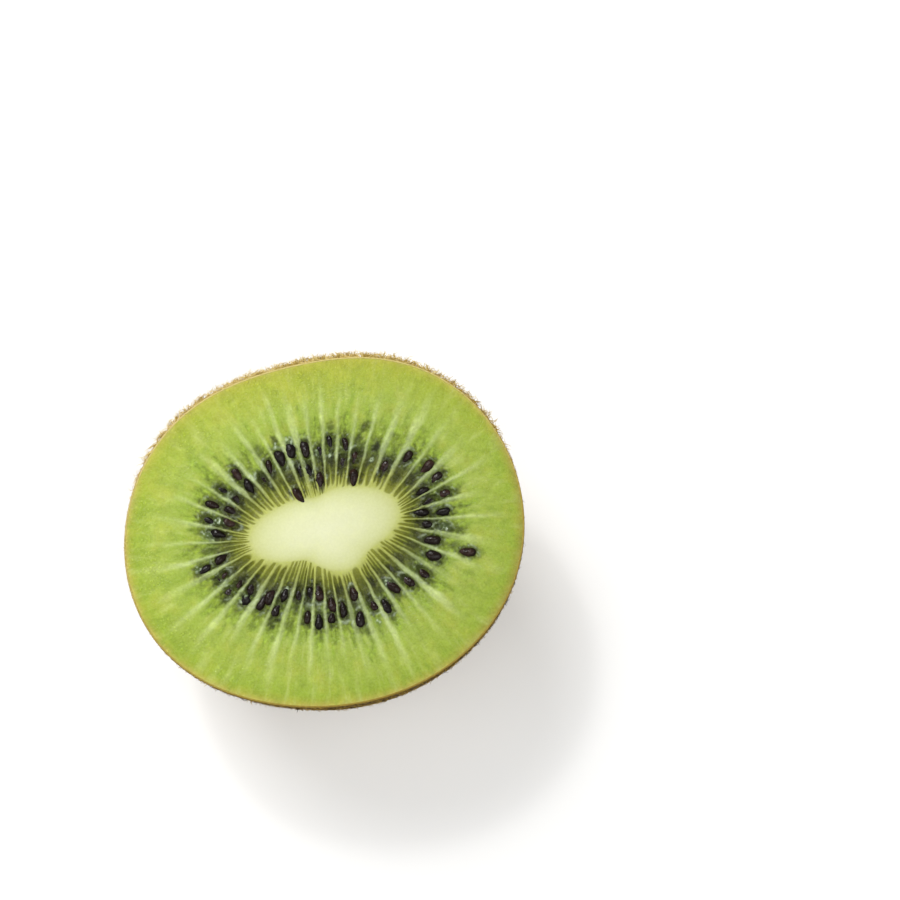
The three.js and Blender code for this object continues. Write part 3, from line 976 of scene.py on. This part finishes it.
fuzz = {
    "count": 36000,
    "denserAtCut": 2.4,        # the knife lifts and combs the hairs there
    "shortest": 0.45,
    "longest": 1.3,
    "thickness": 0.1,          # coarser than a real hair, so that it shows
    "sides": 3,
    "bends": 3,
    "slimming": 0.22,          # at each bend it is thinner by this share
    "curl": 0.48,
    "lift": (0.03, 0.22),      # most hairs lie along the skin
    "shaggySide": (-0.08, 1.0),
    "shaggyLift": 0.8,         # more than that beside the cut, on the shaggy side
    "shaggyLength": 1.6,       # longer by this share there
    "shaggyThickness": 0.2,    # thicker, where several stick together
    "shaggyCrowd": 0.6,        # and closer together
    "raggedSide": (0.3, -0.95),
    "raggedLift": 0.6,         # less shaggy than the other side, yet rough
    "tuftSize": 1.3,           # mm
    "reach": 1.02,             # keeps a hair that stands up from growing long, in mm
    # painted light on the hairs beside the cut comes from this side, painted shade lies opposite
    "hairPaintedLightSide": (-0.4, 0.92),
    "pieces": ("lower", "middle", "upper"),
    "draw": 7,
}


def fuzzRoots(rng):
    # spread evenly over the skin: each band of height gets hairs by its area
    count = fuzz["count"]
    heights = np.linspace(0.3, fruit["halfHeight"] - 0.15, 200)
    radii = np.array([np.hypot(*skinPoint(np.arange(24) * math.pi / 12, h)).mean() for h in heights])
    bands = np.hypot(np.diff(heights), np.diff(radii)) * (radii[1:] + radii[:-1])
    bands[-10:] *= fuzz["denserAtCut"]
    upTo = np.concatenate([[0], np.cumsum(bands)])
    height = np.interp(np.sort(rng.random(count)), upTo / upTo[-1], heights)
    angle = rng.random(count) * 2 * math.pi
    # how much the knife has lifted a hair, 1 right beside the cut
    atCut = smoothStep(fruit["halfHeight"] - 2.5, fruit["halfHeight"] - 0.5, height)
    return angle + fuzz["shaggyCrowd"] * atCut * np.cos(angle), height, atCut


def unit(vectors):
    return vectors / np.maximum(np.linalg.norm(vectors, axis=1, keepdims=True), 1e-9)


def addFuzz():
    # a hair is a thin spike, bent a few times
    rng = np.random.default_rng(fuzz["draw"])
    angle, height, atCut = fuzzRoots(rng)
    high = fruit["halfHeight"]
    count, sides, bends = len(angle), fuzz["sides"], fuzz["bends"]

    def onSkin(a, h):
        return np.stack([*skinPoint(a, h), h], axis=1)

    root = onSkin(angle, height)
    across = unit(onSkin(angle + 0.01, height) - root)
    upwards = unit(onSkin(angle, np.minimum(height + 0.1, high)) - onSkin(angle, height - 0.1))
    outwards = np.cross(across, upwards)
    shaggy = smoothStep(0.05, 0.75, root[:, :2] @ np.array(fuzz["shaggySide"]) / fruit["meanRadius"])
    ragged = smoothStep(0.2, 0.8, root[:, :2] @ np.array(fuzz["raggedSide"]) / fruit["meanRadius"])
    tuft = 1 + 0.9 * lumps(fuzz["tuftSize"], *root.T)
    length = fuzz["shortest"] + (fuzz["longest"] - fuzz["shortest"]) * rng.random(count) ** 1.5
    length *= 1 + atCut * (fuzz["shaggyLength"] * shaggy * tuft - 0.4)
    lay = rng.random(count) * 2 * math.pi
    lift = fuzz["lift"][0] + (fuzz["lift"][1] - fuzz["lift"][0]) * rng.random(count)
    stray = fuzz["shaggyLift"] * shaggy + fuzz["raggedLift"] * ragged
    lift = lift * (1 - 0.3 * atCut * (1 - shaggy)) + stray * atCut * tuft * rng.random(count)
    length = np.minimum(length, fuzz["reach"] / (lift + 0.15))
    sideways = across * np.cos(lay)[:, None] + upwards * np.sin(lay)[:, None]
    # beside the cut a hair doesn't lean up over it
    overCut = np.maximum(sideways[:, 2], 0) * smoothStep(high - 1.6, high - 0.2, height)
    sideways = sideways - upwards * overCut[:, None]
    heading = unit(outwards * lift[:, None] + unit(sideways) * (1.05 - lift)[:, None])
    centres, headings = [root - outwards * 0.05], [heading]
    for k in range(bends):
        step = centres[-1] + heading * (length / bends)[:, None]
        step[:, 2] = np.clip(step[:, 2], 0.05, high + 0.06 + 0.04 * k)
        centres.append(step)
        heading = heading + rng.normal(0, fuzz["curl"], (count, 3))
        # it curls along the skin, neither into it nor far off it
        off = np.sum(heading * outwards, axis=1)
        heading = unit(heading + outwards * (np.clip(off, -0.1 - 0.4 * lift, lift + 0.1) - off)[:, None])
        headings.append(heading)
    spokes = np.arange(sides) * 2 * math.pi / sides
    halfWidth = fuzz["thickness"] / 2 * (0.75 + 0.5 * rng.random(count))
    halfWidth *= 1 + fuzz["shaggyThickness"] * atCut * shaggy
    rings = []
    for k in range(bends):
        left = unit(np.cross(headings[k], upwards))
        over = np.cross(headings[k], left)
        ring = left[:, None] * np.cos(spokes)[None, :, None] + over[:, None] * np.sin(spokes)[None, :, None]
        rings.append(centres[k][:, None] + ring * (halfWidth * (1 - fuzz["slimming"] * k))[:, None, None])
    points = np.concatenate(rings + [centres[-1][:, None]], axis=1)
    pointCount = points.shape[1]
    # one hair's faces: its foot, its sides, and its tip
    faces = [tuple(reversed(range(sides)))]
    for k in range(bends - 1):
        for s in range(sides):
            n = (s + 1) % sides
            a, b, c, d = k * sides + s, k * sides + n, (k + 1) * sides + n, (k + 1) * sides + s
            faces += [(a, b, c), (a, c, d)]
    last = (bends - 1) * sides
    faces += [(last + s, last + (s + 1) % sides, last + sides) for s in range(sides)]
    faces = np.array(faces)
    # beside the cut they are painted paler on the side the light comes from, and painted darker opposite:
    # painted light and painted shade
    nearCut = smoothStep(high - 6, high - 1, height)
    towardsPaintedLight = root[:, :2] @ np.array(fuzz["hairPaintedLightSide"]) * nearCut
    tone = np.clip(rng.random(count) * 0.75 + 0.02 + 0.1 * nearCut + 0.016 * towardsPaintedLight, 0, 1)
    material = fuzzMaterial()
    pieces = []
    for name, part in zip(fuzz["pieces"], np.array_split(np.arange(count), len(fuzz["pieces"]))):
        mesh = bpy.data.meshes.new("fuzz_" + name)
        starts = (np.arange(len(part)) * pointCount)[:, None, None]
        corners = (faces[None] + starts).reshape(-1, 3)
        mesh.from_pydata((points[part].reshape(-1, 3) * metre).tolist(), [], corners.tolist())
        mesh.update()
        obj = bpy.data.objects.new("fuzz_" + name, mesh)
        bpy.context.scene.collection.objects.link(obj)
        writeAttribute(obj, "tone", np.repeat(tone[part], pointCount))
        mesh.materials.append(material)
        pieces.append(obj)
    return pieces


fuzzFinish = {
    "hair": ((0.0, "#2C1F08"), (0.12, "#7A5E1C"), (0.5, "#AE903C"), (1.0, "#E2CE8A")),  # darkest to palest; beside the cut the tone carries painted shade and painted light
    "surface": {"Roughness": 0.55, "IOR": 1.45, "Specular IOR Level": 0.12},
}


def fuzzMaterial():
    # dry plant hairs: dull golden brown, each hair with a tone of its own, and beside the cut painted light
    # and painted shade in it
    material, add, tree, shader = newMaterial("kiwiFuzz", fuzzFinish["surface"])
    colour = add("ValToRGB", {0: add("Attribute", attribute_name="tone")}, stops=fuzzFinish["hair"])
    tree.links.new(colour.outputs[0], shader.inputs["Base Color"])
    return material


addCamera()
addLights()
addFloor()
print("camera, light and floor are set")

shownSeeds, buriedSeeds = seedPlaces()
fleshPiece = addFlesh(shownSeeds, buriedSeeds)
print("flesh:", len(fleshPiece.data.polygons), "faces")
seedPiece = addSeeds(shownSeeds)
print("seeds:", len(shownSeeds), "bare,", len(buriedSeeds), "under the flesh")
skinPiece = addSkin()
print("skin:", len(skinPiece.data.polygons), "faces")
fuzzPieces = addFuzz()
print("fuzz:", sum(len(piece.data.polygons) for piece in fuzzPieces), "faces")

for piece, slotName in ((fleshPiece, "flesh"), (seedPiece, "seed"), (skinPiece, "skin")):
    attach(piece, "root")
    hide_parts("kiwi_half")
for piece in fuzzPieces:
    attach(piece, "root")
